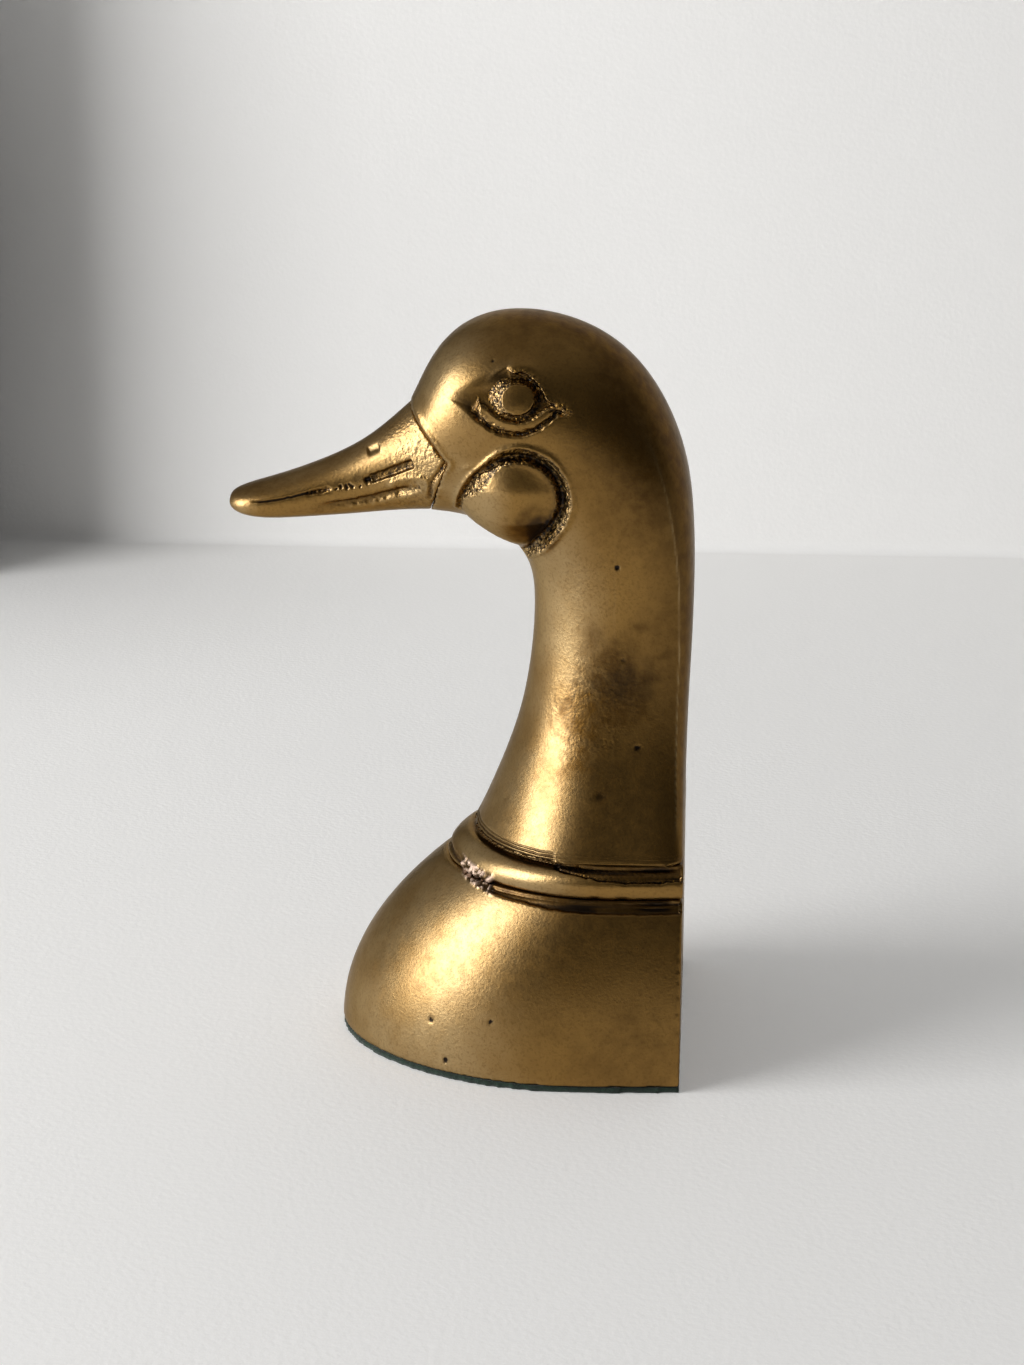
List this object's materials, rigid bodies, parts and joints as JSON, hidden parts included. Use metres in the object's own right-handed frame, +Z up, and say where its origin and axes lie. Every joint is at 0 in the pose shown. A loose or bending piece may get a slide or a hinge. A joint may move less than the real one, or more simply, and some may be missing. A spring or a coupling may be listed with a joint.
{
  "type": "bookend",
  "caption": "Brass bookend in the form of a duck's head and neck: hollow breast with a flat back that holds books upright, rounded collar band, long bill, felt under the base.",
  "frame": {"origin": "middle of the base's length and width, on the lower face of the felt", "axes": "+Z up; +X out of the flat back, so the duck faces -X; +Y to the duck's right side"},
  "size_m": [0.1101, 0.0864, 0.1775],
  "materials": {
    "brass": "aged satin, worn bright on the high places and brown in the hollows",
    "felt": "dark green pressed felt",
    "board": "plain hardboard"
  },
  "bodies": {
    "root": {"felt_pad": "felt", "base_board": "board", "breast_casting": "brass", "collar_ring": "brass", "neck_left_half": "brass", "neck_right_half": "brass", "bill_casting": "brass"}
  },
  "joints": []
}
